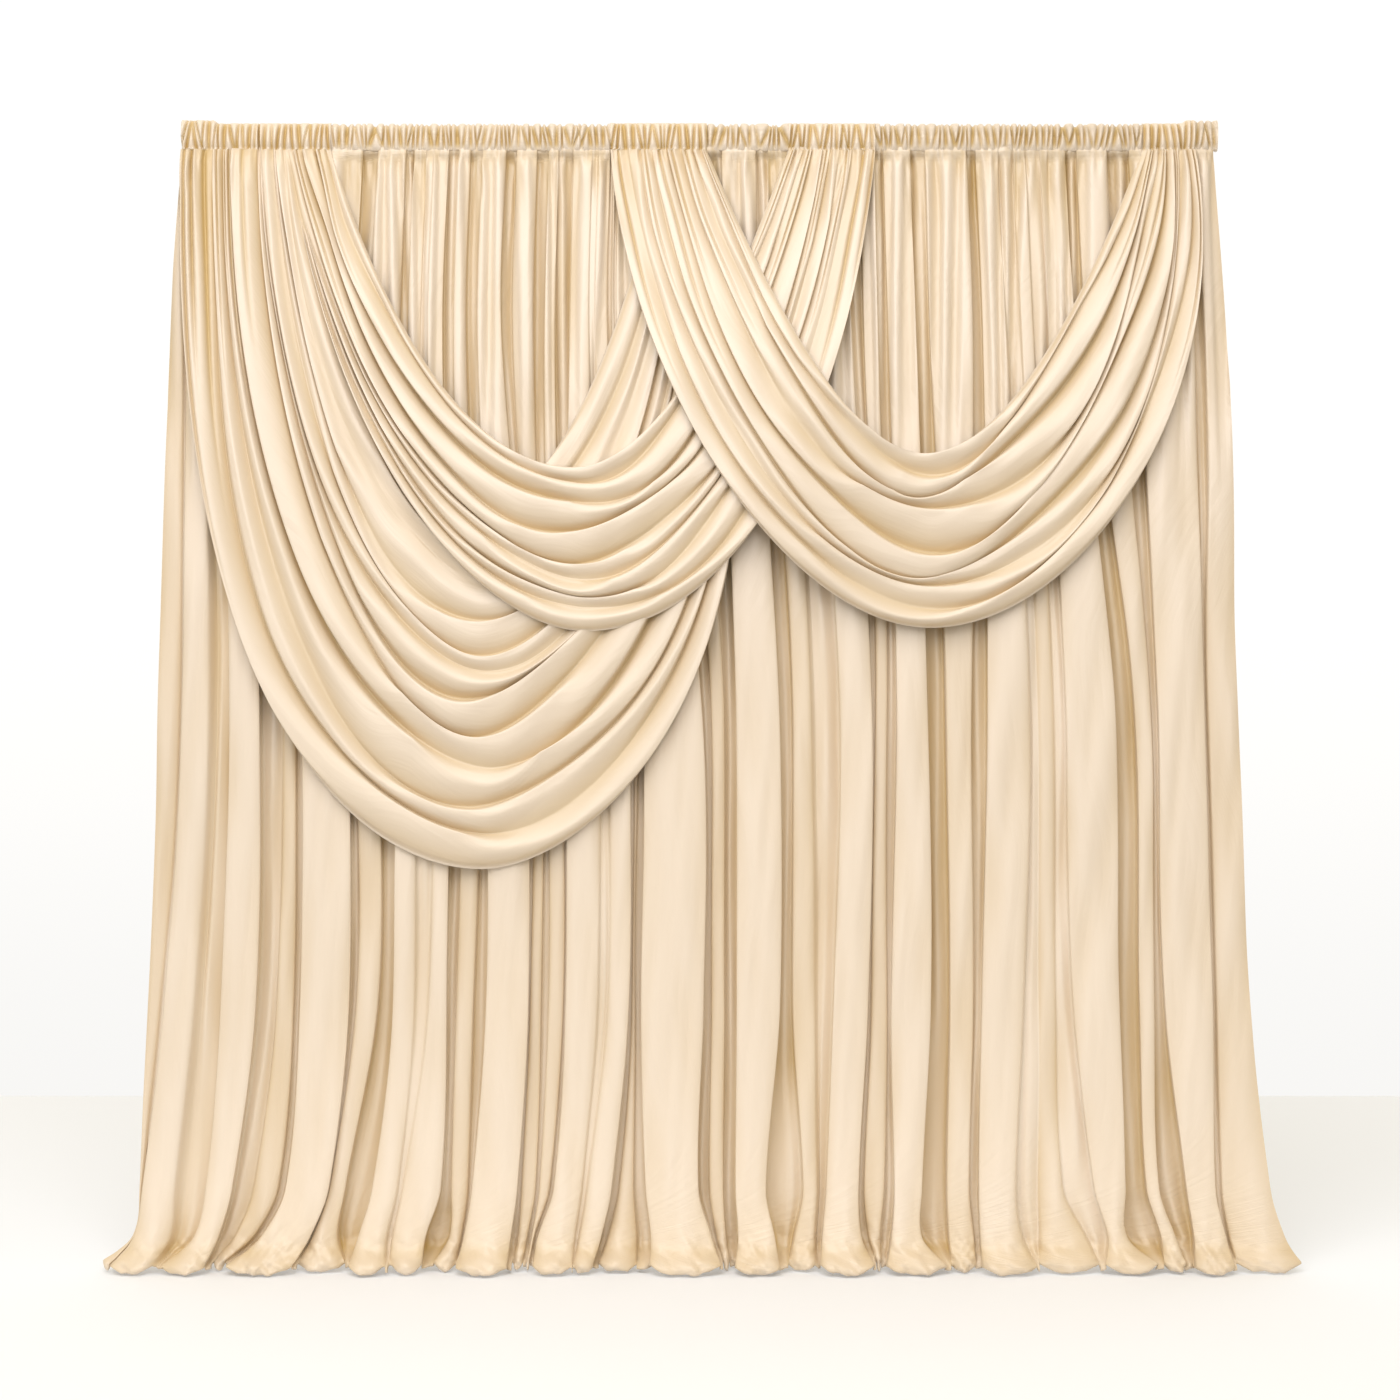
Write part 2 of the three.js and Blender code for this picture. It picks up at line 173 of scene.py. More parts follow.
def cream_cloth():
    finish = bpy.data.materials.new("cream_cloth")
    finish.use_nodes = True
    tree = finish.node_tree
    surface = tree.nodes["Principled BSDF"]
    shade = Shade(tree)
    cloth = shade.node("ShaderNodeUVMap", {"uv_map": "cloth"})
    drawn = shade.node("ShaderNodeMapping", None, {"Vector": cloth, "Scale": (1, 0.08, 1)})
    slubs = shade.node("ShaderNodeTexNoise", None, {"Vector": drawn, "Scale": 90.0, "Detail": 3.0})
    cast = shade.node("ShaderNodeTexNoise", None, {"Vector": cloth, "Scale": 3.0, "Detail": 2.0})
    crinkle = shade.node("ShaderNodeTexNoise", None, {"Vector": drawn, "Scale": 38.0, "Detail": 3.0})
    painted_shade = shade.node("ShaderNodeAttribute", {"attribute_name": "painted_shade"}, output="Fac")
    colour, rgb = slubs * 0.35 + cast * 0.65, {"data_type": "RGBA"}
    colour = shade.node("ShaderNodeMix", rgb, {0: colour, 6: SHADE_CREAM, 7: CREAM}, output=2)
    # Painted shade: the colour is mixed toward a deep, warm cream as far as each point's painted-shade value says.
    colour = shade.node("ShaderNodeMix", rgb, {0: painted_shade * PAINTED_SHADE_MOST, 6: colour, 7: PAINTED_SHADE_CREAM}, output=2)
    bumps = shade.node("ShaderNodeBump", None, {"Height": crinkle, "Strength": 0.5, "Distance": 0.004})
    tree.links.new(colour.socket, surface.inputs["Base Color"])
    tree.links.new((0.34 + 0.12 * slubs).socket, surface.inputs["Roughness"])
    tree.links.new(bumps.socket, surface.inputs["Normal"])
    surface.inputs["Specular IOR Level"].default_value = 0.8
    surface.inputs["Sheen Weight"].default_value = 0.15
    surface.inputs["Sheen Roughness"].default_value = 0.45
    return finish


CLOTH = cream_cloth()


def finished(piece, node):
    piece.data.materials.clear()
    piece.data.materials.append(CLOTH)
    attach(piece, "root")
    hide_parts(node)
    return piece


def uneven_gathers(seed):
    """Gathers from left to right: place, width, depth, lean and how high up the pocket each is deepest."""
    turns = np.random.default_rng(seed)
    room = turns.uniform(0.5, 1.5, GATHERS)
    places = -HEADING_WIDTH / 2 + HEADING_WIDTH * (room.cumsum() - room / 2) / room.sum()
    widths = 0.24 * HEADING_WIDTH / GATHERS * room
    depths = turns.uniform(*GATHER_DEPTH, GATHERS)
    leans = turns.normal(0, GATHER_LEAN, GATHERS)
    return np.stack([places, widths, depths, leans, turns.random(GATHERS)], axis=-1)


HEADING_GATHERS = uneven_gathers(11)


def gather_pull(across, height):
    """How far the gathers draw the pocket in at each place across and each height, less so at its top."""
    pull, up = 0, (height - STITCH_LINE) / POCKET_HEIGHT
    for place, width, depth, lean, high in HEADING_GATHERS:
        aside = (across - place - lean * (height - POCKET_MIDDLE)) / width
        pull = pull + depth * (1 - 0.5 * abs(up - high)) * np.exp(-abs(aside) ** 1.5)
    return GATHER_LIMIT * np.tanh(pull / GATHER_LIMIT) * (1 - 0.4 * ease((height - HEADING_TOP + TOP_BAND) / TOP_BAND))


def gather_painted_shade(pull):
    """How much painted shade a place in a gather gets, from how far it is drawn in."""
    return (pull / GATHER_DEEP) ** 1.3


def short_pleats(across, height):
    """Short pleats that run down from the stitch line under the gathers, each of its own length."""
    shortest, longest = PLEAT_LENGTH
    drop, pleats = np.maximum(STITCH_LINE - height, 0), 0
    for place, width, depth, lean, high in HEADING_GATHERS:
        length = shortest + (longest - shortest) * high**2
        aside = (across - place - 0.3 * lean * drop) / (width * (1.3 + drop / 80))
        pleats = pleats + depth * np.exp(-((drop / length) ** 2) - aside**2)
    return PLEAT_LIMIT * np.tanh(pleats / PLEAT_LIMIT)


def pocket_front(height):
    return smooth_through(POCKET_FRONT["height"], POCKET_FRONT["forward"], height)


def bunched(across, height):
    """The heading's height, with both its ends standing a little higher than the rest."""
    at_end = ease((abs(across) - END_BUNCH["from"]) / END_BUNCH["over"])
    return height + END_BUNCH["rise"] * at_end * ease((height - 2950) / 45)


fronts = np.append(pocket_front(POCKET_RINGS[:-1]), 0)
ring, across = np.meshgrid(
    np.arange(2 * len(POCKET_RINGS) - 2),
    np.linspace(-HEADING_WIDTH / 2, HEADING_WIDTH / 2, POCKET_COLUMNS),
    indexing="ij",
)
forward = np.concatenate([fronts, -fronts[-2:0:-1]])[ring]
height = np.array(POCKET_RINGS + POCKET_RINGS[-2:0:-1])[ring]
pull = gather_pull(across, height) * (0.2 + 0.8 * ease((height - STITCH_LINE) / PUCKER_HEIGHT))
keep = 1 - pull / np.hypot(forward, height - ROD_AXIS)
height = bunched(across, ROD_AXIS + (height - ROD_AXIS) * keep)
# The cloth's colour gets painted shade down in the gathers.
heading = cloth_piece("heading_pocket", across, forward * keep, height, gather_painted_shade(pull), tube=True)
finished(heading, "heading")

# Curtain. One wide panel of the same cloth, gathered into the heading's stitch line and hanging free to the floor
# in uneven folds, where its turned-up hem lies a little forward in soft lobes.

# The table has a row for each fold, from left to right: how far its face stands forward, at the neck too where that
# differs, which of its sides bend round softly, how far each side tucks in behind the face, the gully to its right,
# how far its foot pushes out on the floor, and the left and right edges of its face at six heights.
FOLDS = [
    {
        "forward": 10, "round": ("left", "right"), "tucks": (0, -8), "gully": 0, "push": 36,
        "hem": (-1560, -1535), "foot": (-1486, -1480), "ankle": (-1468, -1462),
        "knee": (-1442, -1410), "waist": (-1418, -1362), "neck": (-1388, -1352),
    },
    {
        "forward": 45, "round": ("right",), "tucks": (2, -24), "gully": 6, "push": 59,
        "hem": (-1525, -1420), "foot": (-1475, -1380), "ankle": (-1455, -1370),
        "knee": (-1398, -1320), "waist": (-1350, -1280), "neck": (-1340, -1290),
    },
    {
        "forward": 45, "round": (), "tucks": (2, 3), "gully": -25, "push": 65,
        "hem": (-1392, -1282), "foot": (-1316, -1252), "ankle": (-1288, -1219),
        "knee": (-1252, -1160), "waist": (-1228, -1150), "neck": (-1240, -1170),
    },
    {
        "forward": 0, "round": ("left", "right"), "tucks": (-4, -2), "gully": -45, "push": 36,
        "hem": (-1270, -1238), "foot": (-1215, -1165), "ankle": (-1170, -1105),
        "knee": (-1110, -1066), "waist": (-1092, -1060), "neck": (-1130, -1095),
    },
    {
        "forward": 45, "round": (), "tucks": (3, 3), "gully": -40, "push": 70,
        "hem": (-1228, -1060), "foot": (-1148, -1020), "ankle": (-1085, -973),
        "knee": (-1042, -915), "waist": (-1040, -918), "neck": (-1060, -905),
    },
    {
        "forward": 12, "at_neck": 40, "round": ("left", "right"), "tucks": (-2, -4), "gully": -45, "push": 49,
        "hem": (-1045, -925), "foot": (-1008, -945), "ankle": (-965, -924),
        "knee": (-903, -846), "waist": (-890, -832), "neck": (-862, -788),
    },
    {
        "forward": 45, "round": ("right",), "tucks": (3, -6), "gully": 30, "push": 76,
        "hem": (-908, -815), "foot": (-888, -815), "ankle": (-854, -790),
        "knee": (-803, -748), "waist": (-790, -738), "neck": (-766, -734),
    },
    {
        "forward": 42, "round": ("left",), "tucks": (-6, 3), "gully": -45, "push": 63,
        "hem": (-805, -722), "foot": (-800, -715), "ankle": (-775, -677),
        "knee": (-706, -660), "waist": (-700, -656), "neck": (-711, -673),
    },
    {
        "forward": 8, "at_neck": 40, "round": ("left", "right"), "tucks": (-2, -6), "gully": -30, "push": 42,
        "hem": (-695, -640), "foot": (-655, -625), "ankle": (-650, -608),
        "knee": (-636, -592), "waist": (-628, -582), "neck": (-645, -615),
    },
    {
        "forward": 45, "round": (), "tucks": (2, 3), "gully": -40, "push": 76,
        "hem": (-630, -500), "foot": (-614, -492), "ankle": (-595, -477),
        "knee": (-562, -452), "waist": (-553, -450), "neck": (-581, -519),
    },
    {
        "forward": -4, "at_neck": 45, "round": ("left", "right"), "tucks": (-2, -2), "gully": -45, "push": 44,
        "hem": (-488, -462), "foot": (-475, -450), "ankle": (-466, -430),
        "knee": (-444, -416), "waist": (-440, -412), "neck": (-490, -437),
    },
    {
        "forward": 10, "at_neck": 35, "round": ("left", "right"), "tucks": (-2, 0), "gully": -30, "push": 36,
        "hem": (-452, -442), "foot": (-438, -430), "ankle": (-418, -392),
        "knee": (-398, -360), "waist": (-397, -360), "neck": (-406, -380),
    },
    {
        "forward": 45, "round": ("right",), "tucks": (2, -6), "gully": 28, "push": 70,
        "hem": (-434, -335), "foot": (-424, -330), "ankle": (-383, -312),
        "knee": (-350, -268), "waist": (-348, -266), "neck": (-340, -290),
    },
    {
        "forward": 40, "round": ("left",), "tucks": (-6, 3), "gully": -45, "push": 65,
        "hem": (-325, -275), "foot": (-310, -255), "ankle": (-290, -228),
        "knee": (-242, -188), "waist": (-238, -186), "neck": (-272, -241),
    },
    {
        "forward": -22, "at_neck": 36, "round": ("left", "right"), "tucks": (-2, -2), "gully": -45, "push": 82,
        "hem": (-262, -165), "foot": (-238, -165), "ankle": (-212, -175),
        "knee": (-178, -170), "waist": (-176, -168), "neck": (-232, -226),
    },
    {
        "forward": 46, "round": (), "tucks": (3, 3), "gully": -45, "push": 76,
        "hem": (-130, 52), "foot": (-128, 30), "ankle": (-142, -5),
        "knee": (-155, 8), "waist": (-150, 4), "neck": (-215, -110),
    },
    {
        "forward": -6, "at_neck": 30, "round": ("left", "right"), "tucks": (0, 0), "gully": -48, "push": 40,
        "hem": (62, 80), "foot": (44, 70), "ankle": (26, 62),
        "knee": (28, 62), "waist": (28, 62), "neck": (-70, -20),
    },
    {
        "forward": 45, "round": (), "tucks": (3, 3), "gully": -45, "push": 70,
        "hem": (92, 206), "foot": (100, 196), "ankle": (93, 172),
        "knee": (93, 206), "waist": (96, 208), "neck": (60, 150),
    },
    {
        "forward": 10, "round": ("left", "right"), "tucks": (-3, -14), "gully": -15, "push": 44,
        "hem": (228, 296), "foot": (245, 296), "ankle": (270, 306),
        "knee": (243, 300), "waist": (243, 290), "neck": (182, 232),
    },
    {
        "forward": 45, "round": (), "tucks": (2, 3), "gully": -40, "push": 76,
        "hem": (312, 450), "foot": (318, 420), "ankle": (330, 414),
        "knee": (350, 440), "waist": (364, 447), "neck": (300, 395),
    },
    {
        "forward": 8, "at_neck": 42, "round": ("left", "right"), "tucks": (-2, 0), "gully": -40, "push": 40,
        "hem": (458, 472), "foot": (440, 470), "ankle": (428, 480),
        "knee": (448, 488), "waist": (461, 490), "neck": (430, 466),
    },
    {
        "forward": 45, "round": (), "tucks": (2, 3), "gully": -45, "push": 66,
        "hem": (486, 640), "foot": (500, 580), "ankle": (508, 580),
        "knee": (497, 600), "waist": (515, 595), "neck": (492, 564),
    },
    {
        "forward": 20, "at_neck": 42, "round": ("left", "right"), "tucks": (-4, 2), "gully": -45, "push": 48,
        "hem": (655, 718), "foot": (650, 715), "ankle": (646, 704),
        "knee": (652, 713), "waist": (645, 712), "neck": (603, 712),
    },
    {
        "forward": 45, "round": ("right",), "tucks": (3, -10), "gully": 12, "push": 76,
        "hem": (730, 868), "foot": (728, 835), "ankle": (726, 822),
        "knee": (738, 845), "waist": (750, 858), "neck": (739, 798),
    },
    {
        "forward": 16, "at_neck": 40, "round": ("left", "right"), "tucks": (-6, -8), "gully": 6, "push": 65,
        "hem": (884, 1036), "foot": (888, 1005), "ankle": (885, 945),
        "knee": (890, 930), "waist": (884, 920), "neck": (840, 871),
    },
    {
        "forward": 45, "round": (), "tucks": (2, 3), "gully": -45, "push": 66,
        "hem": (1050, 1185), "foot": (1062, 1112), "ankle": (1028, 1110),
        "knee": (976, 1096), "waist": (952, 1080), "neck": (911, 980),
    },
    {
        "forward": 26, "at_neck": 40, "round": (), "tucks": (-2, 2), "gully": -45, "push": 53,
        "hem": (1205, 1262), "foot": (1202, 1240), "ankle": (1168, 1200),
        "knee": (1150, 1188), "waist": (1134, 1176), "neck": (1010, 1090),
    },
    {
        "forward": 45, "at_neck": 60, "round": (), "tucks": (2, 2), "gully": 0, "push": 70,
        "hem": (1282, 1384), "foot": (1285, 1368), "ankle": (1268, 1343),
        "knee": (1214, 1338), "waist": (1192, 1313), "neck": (1150, 1290),
    },
    {
        "forward": 22, "at_neck": 60, "round": ("left", "right"), "tucks": (-6, 0), "gully": 0, "push": 53,
        "hem": (1400, 1566), "foot": (1385, 1527), "ankle": (1365, 1490),
        "knee": (1352, 1438), "waist": (1330, 1407), "neck": (1318, 1376),
    },
]
EDGE_HEIGHTS = {"hem": 18, "foot": 90, "ankle": 215, "knee": 700, "waist": 1490, "neck": 2450}
TOP_DRAW = 0.975
FOLD_SHARE = 0.64
ROUND_TURN, CRISP_TURN = 0.95, 0.4
FACE_CROWN = 4
FACE_SWAY = 5
GULLY_SHARE, GULLY_LEAST, GULLY_SWELL = 0.6, 5, 14
# Painted shade in the cloth's colour: in the gullies, at the faces' edges and on folds that stand back.
GULLY_PAINTED_SHADE, EDGE_PAINTED_SHADE, SET_BACK_PAINTED_SHADE = 0.78, 0.16, 0.3
FOLD_DEPTH = {"height": [0, 300, 1900, 2450, 2820, 2890, 2912, 2925], "share": [1, 1, 1, 0.5, 0.4, 0.36, 0.3, 0.1]}
# The hem's way round, from the shin down: at each height, the share of a fold's push at the middle of its face,
# at the face's edges and in the gullies beside it. The cloth leans out to the floor and then turns under.
HEM_ROLL = {
    "height": [2, 5, 9, 15, 23, 34, 48, 66, 90, 140, 230, 330],
    "face": [0.86, 0.98, 1.0, 1.0, 0.97, 0.86, 0.66, 0.46, 0.32, 0.17, 0.05, 0],
    "edge": [0.5, 0.66, 0.74, 0.76, 0.73, 0.62, 0.46, 0.33, 0.24, 0.12, 0.04, 0],
    "gully": [0.66, 0.9, 1.0, 0.98, 0.86, 0.62, 0.34, 0.16, 0.08, 0.03, 0.01, 0],
}
HEM_LIFT = {"edge": 18, "gully": 4}
HEM_STITCHES = 58
# Painted shade in a band along the floor, and a darker line along the hem's stitches.
HEM_PAINTED_SHADE, STITCH_TINT = 0.24, 0.2
PLEATS_FROM = 2300
# The narrow folds' tint is painted shade in their hollows.
NARROW_FOLD = {"pitch": 58, "depth": 7, "tint": 0.22}
RIPPLE_DEPTHS = (5, 2.4)
CRUMPLE_DEPTHS = (8, 6)


def fold_depth(height):
    return smooth_through(FOLD_DEPTH["height"], FOLD_DEPTH["share"], height)


def narrow_folds(height):
    """The share of the narrow folds that come from the gathers and die out lower down."""
    return ease((STITCH_LINE - height) / 30) * (1 - ease((EDGE_HEIGHTS["neck"] - height) / 500))


def fold_edge(fold, side, height):
    edges = [fold[name][side] for name in EDGE_HEIGHTS] + [fold["neck"][side] * TOP_DRAW]
    return smooth_through([*EDGE_HEIGHTS.values(), STITCH_LINE], edges, height)


def rounded(marks, turns, bends, points):
    """Lines through rows of marks with a bend at each: bends say how far round the bend at a mark reaches, and
    points how many points lie between two marks, closer together towards the one with the sharper turn."""
    sides = np.diff(marks, axis=1)
    lengths = np.linalg.norm(sides, axis=2, keepdims=True)
    aim = np.concatenate([sides[:, :1], marks[:, 2:] - marks[:, :-2], sides[:, -1:]], axis=1)
    aim = aim / np.maximum(np.linalg.norm(aim, axis=2, keepdims=True), 1e-6)
    reach = np.minimum(np.concatenate([lengths[:, :1], lengths], 1), np.concatenate([lengths, lengths[:, -1:]], 1))
    aim = aim * reach * bends[:, :, None]
    stretches = []
    for k, count in enumerate(points):
        t = np.arange(count) / count
        if turns[k] < turns[k + 1]:
            t = t**1.5
        elif turns[k] > turns[k + 1]:
            t = 1 - (1 - t) ** 1.5
        t = t[None, :, None]
        rise = t * t * (3 - 2 * t)
        straight = marks[:, k, None] * (1 - rise) + marks[:, k + 1, None] * rise
        stretches.append(straight + aim[:, k, None] * t * (1 - t) ** 2 - aim[:, k + 1, None] * t * t * (1 - t))
    return np.concatenate(stretches + [marks[:, -1:]], axis=1)


levels = np.concatenate(
    [
        [2936, 2930],
        np.linspace(2924.7, 2860, 12, endpoint=False),
        np.linspace(2860, 2600, 14, endpoint=False),
        np.linspace(2600, 300, 48, endpoint=False),
        np.linspace(300, 90, 16, endpoint=False),
        np.linspace(90, 16, 14, endpoint=False),
        [16, 12, 9, 6, 4, 2],
    ]
)
depth = FOLD_SHARE * fold_depth(levels)
roll = {part: smooth_through(HEM_ROLL["height"], HEM_ROLL[part], levels) for part in ("face", "edge", "gully")}
sides, faces, set_back_shade = [], [], []
for i, fold in enumerate(FOLDS):
    sway = FACE_SWAY * drift(40 + i, levels / 1500, 0) * depth
    sides.append([fold_edge(fold, side, levels) + sway for side in (0, 1)])
    at_neck = fold.get("at_neck", fold["forward"])
    stand = smooth_through([1700, EDGE_HEIGHTS["neck"]], [fold["forward"], at_neck], levels)
    faces.append(stand * (1 + 0.12 * drift(80 + i, levels / 900, 0)) * depth)
    # Folds that stand back get painted shade, a darker colour, except near the floor.
    set_back_shade.append(SET_BACK_PAINTED_SHADE * np.clip((40 - stand) / 40, 0, 1) * ease(levels / 150))

# Marks across each level: five on every fold's face, and three in the gully between it and the next fold
lines, turns = [], []
for i, fold in enumerate(FOLDS):
    (left, right), face = sides[i], faces[i]
    width = right - left
    middle = (left + right) / 2 + 0.1 * width * drift(120 + i, levels / 1300, 0)
    crown = (FACE_CROWN + 0.05 * width) * depth
    lift = np.exp(-levels / 26) * (1 + 0.3 * drift(160, i / 5, 0))
    for place, out in ((left, 0), (left + 0.22 * width, 0.78), (middle, 1), (left + 0.78 * width, 0.78), (right, 0)):
        stand = face + out * crown + fold["push"] * (out * roll["face"] + (1 - out) * roll["edge"])
        # Painted shade: the face's edges get a darker colour, more so near the floor.
        tint = set_back_shade[i] + (1 - out) * (EDGE_PAINTED_SHADE + 0.2 * np.exp(-levels / 25))
        lines.append((place, stand, (1 - out) * HEM_LIFT["edge"] * lift, tint))
    left_turn, right_turn = (ROUND_TURN if side in fold["round"] else CRISP_TURN for side in ("left", "right"))
    turns.extend([left_turn, 1, 1, 1, right_turn])
    if i < len(FOLDS) - 1:
        next_left, next_tuck = sides[i + 1][0], FOLDS[i + 1]["tucks"][0]
        gap, rim = np.maximum(next_left - right, 4), np.minimum(face, faces[i + 1])
        gully = np.maximum(fold["gully"] * depth, rim - GULLY_SHARE * gap - GULLY_LEAST)
        # Painted shade: deep, narrow gullies get a darker colour, less so near the floor and at a gully's middle.
        tint = GULLY_PAINTED_SHADE * np.clip((rim - gully) / 34, 0, 1) * np.clip(48 / gap, 0.4, 1)
        tint = tint * (1 - 0.5 * np.exp(-levels / 50))
        swell = np.minimum(0.22 * gap, GULLY_SWELL) * (0.5 + 0.5 * drift(170, i / 3, levels / 1800))
        gully = gully + fold["push"] * roll["gully"]
        halfway = right + gap * (0.5 + 0.15 * drift(171, i / 2, levels / 1500))
        lift = HEM_LIFT["gully"] * lift
        lines.append((right - fold["tucks"][1] * depth, gully, lift, tint))
        lines.append((halfway, gully + swell, lift, 0.6 * tint))
        lines.append((next_left + next_tuck * depth, gully, lift, tint))
        turns.extend([1, 1, 1])
marks = np.stack([np.stack(line, axis=-1) for line in lines], axis=1)
at_neck = marks[np.searchsorted(-levels, -EDGE_HEIGHTS["neck"])]
points = np.clip(np.round(np.linalg.norm(np.diff(at_neck, axis=0), axis=1) / 5), 2, 14).astype(int)
soft = np.exp(-levels / 70)[:, None]
across, forward, lift, painted_shade = np.moveaxis(rounded(marks, turns, soft + (1 - soft) * np.array(turns), points), 2, 0)
height = levels[:, None] + lift

# Over the folds: short pleats and narrow folds under the stitch line, slow ripples, and crumples along the hem
top = levels > PLEATS_FROM
pleats, drop = short_pleats(across[top], height[top]), np.maximum(STITCH_LINE - height[top], 0)
forward[top] += 3 + 8 * np.exp(-drop / 90) - 0.9 * pleats * (0.3 + 0.7 * ease(drop / 16))
# Painted shade in the short pleats.
painted_shade[top] += pleats / 30
waves = np.cos(2 * np.pi * across / NARROW_FOLD["pitch"] + 2.6 * drift(31, across / 240, height / 2500))
waves = narrow_folds(height) * np.tanh(2.6 * waves)
slow, quick = RIPPLE_DEPTHS
ripples = slow * drift(21, height / 900, across / 170) + quick * drift(22, height / 450, across / 62)
broad, fine = CRUMPLE_DEPTHS
crumple = broad * drift(23, height / 70, across / 95) + fine * drift(24, height / 40, across / 30)
forward = forward + NARROW_FOLD["depth"] * waves + depth[:, None] * ripples + crumple * np.exp(-height / 60)
# Painted shade in the narrow folds' hollows, a little less on ripples that stand forward.
painted_shade = painted_shade + NARROW_FOLD["tint"] * np.maximum(-waves, 0) - 0.016 * ripples
height = height + 3 * np.exp(-height / 30) * (1 + drift(25, height / 90, across / 60))
stitches = np.exp(-(((height - HEM_STITCHES) / 16) ** 2)) * (0.6 + 0.4 * drift(26, 0, across / 160))
# Painted shade: darker in a band along the floor; darker too along the hem's stitch line.
painted_shade = painted_shade + HEM_PAINTED_SHADE * np.exp(-((height / 120) ** 2)) + STITCH_TINT * stitches
curtain = cloth_piece("curtain_panel", across, forward, height, painted_shade)
finished(curtain, "curtain")

# Swags. Three lengths of the same cloth, each gathered at both ends, sewn over the front of the heading and left
# to hang in a deep curve, so that it falls into cowl-like folds.

# Relief is how deep the upper and lower folds are, and the share of it at each end. Dip_x is where the upper and
# lower edges hang lowest, and left and right say how those edges lean, drop and level out. Lift is how far the cloth
# behind pushes the swag forward, pinch how open its folds are at the stitch line, and stack what lies under its end.
# Each crease starts and ends along the heading, hangs as low as its dip, and is deep or shallow. The long pleats at
# the ends have a place, counted in creases, a length and a depth.
SWAG_A = {
    "relief": {"upper": 24, "lower": 41, "from": 4, "left": 1.0, "right": 1.0},
    "dip_x": (-568, -568),
    "left": {"lean": (120, -16), "drop": (0.5, 0.8), "reach": (0.4, 0.4)},
    "right": {"lean": (-78, 336), "drop": (0.5, 0.72), "reach": (0.4, 0.5)},
    "lift": {"left": 0, "dip": 0, "right": 0},
    "pinch": {"left": 0.75, "right": 0.0},
    "stack": {"left": 0, "right": 0},
    "points": 24,
    "pleats": {
        "left": [
            (7.4, 420, 9), (8.3, 560, 11), (8.62, 330, 9), (9.45, 480, 10),
            (10.2, 700, 14), (10.46, 480, 18), (10.66, 900, 15), (10.84, 560, 12),
        ],
        "right": [],
    },
    "creases": [
        {"left": -1060, "dip": 1995, "right": -103, "deep": 1.0},
        {"left": -1075, "dip": 1878, "right": -92, "deep": 0.9},
        {"left": -1090, "dip": 1775, "right": -81, "deep": 0.4},
        {"left": -1108, "dip": 1681, "right": -70, "deep": 0.9},
        {"left": -1114, "dip": 1604, "right": -62, "deep": 0.9},
        {"left": -1146, "dip": 1562, "right": -55, "deep": 0.75},
        {"left": -1150, "dip": 1498, "right": -46, "deep": 0.9},
        {"left": -1156, "dip": 1415, "right": -36, "deep": 0.9},
        {"left": -1222, "dip": 1322, "right": -25, "deep": 1.0},
        {"left": -1245, "dip": 1208, "right": -14, "deep": 0.8},
        {"left": -1272, "dip": 1138, "right": -4, "deep": 0.8},
        {"left": -1354, "dip": 1050, "right": 9, "deep": 1.0},
    ],
}
SWAG_B = {
    "relief": {"upper": 37, "lower": 37, "from": 0, "left": 1.0, "right": 0.45},
    "dip_x": (-329, -295),
    "left": {"lean": (143, 150), "drop": (0.55, 0.72), "reach": (0.42, 0.3)},
    "right": {"lean": (-156, -65), "drop": (0.5, 0.58), "reach": (0.42, 0.5)},
    "lift": {"left": 30, "dip": 34, "right": 38},
    "pinch": {"left": 0.75, "right": 0.75},
    "stack": {"left": 0, "right": 0},
    "points": 22,
    "pleats": {
        "left": [(1.5, 300, 8), (3.5, 420, 9), (5.5, 340, 9), (7.4, 520, 9)],
        "right": [(0.5, 300, 8), (2.5, 360, 9), (4.4, 300, 8), (6.5, 420, 9), (7.35, 520, 11), (7.7, 300, 10)],
    },
    "creases": [
        {"left": -964, "dip": 2093, "right": 231, "deep": 1.0},
        {"left": -977, "dip": 2057, "right": 250, "deep": 0.75},
        {"left": -1003, "dip": 1985, "right": 270, "deep": 1.0},
        {"left": -1038, "dip": 1923, "right": 292, "deep": 1.0},
        {"left": -1060, "dip": 1843, "right": 322, "deep": 1.0},
        {"left": -1066, "dip": 1810, "right": 340, "deep": 0.8},
        {"left": -1070, "dip": 1755, "right": 365, "deep": 1.0},
        {"left": -1074, "dip": 1717, "right": 398, "deep": 0.75},
        {"left": -1078, "dip": 1668, "right": 458, "deep": 1.0},
    ],
}
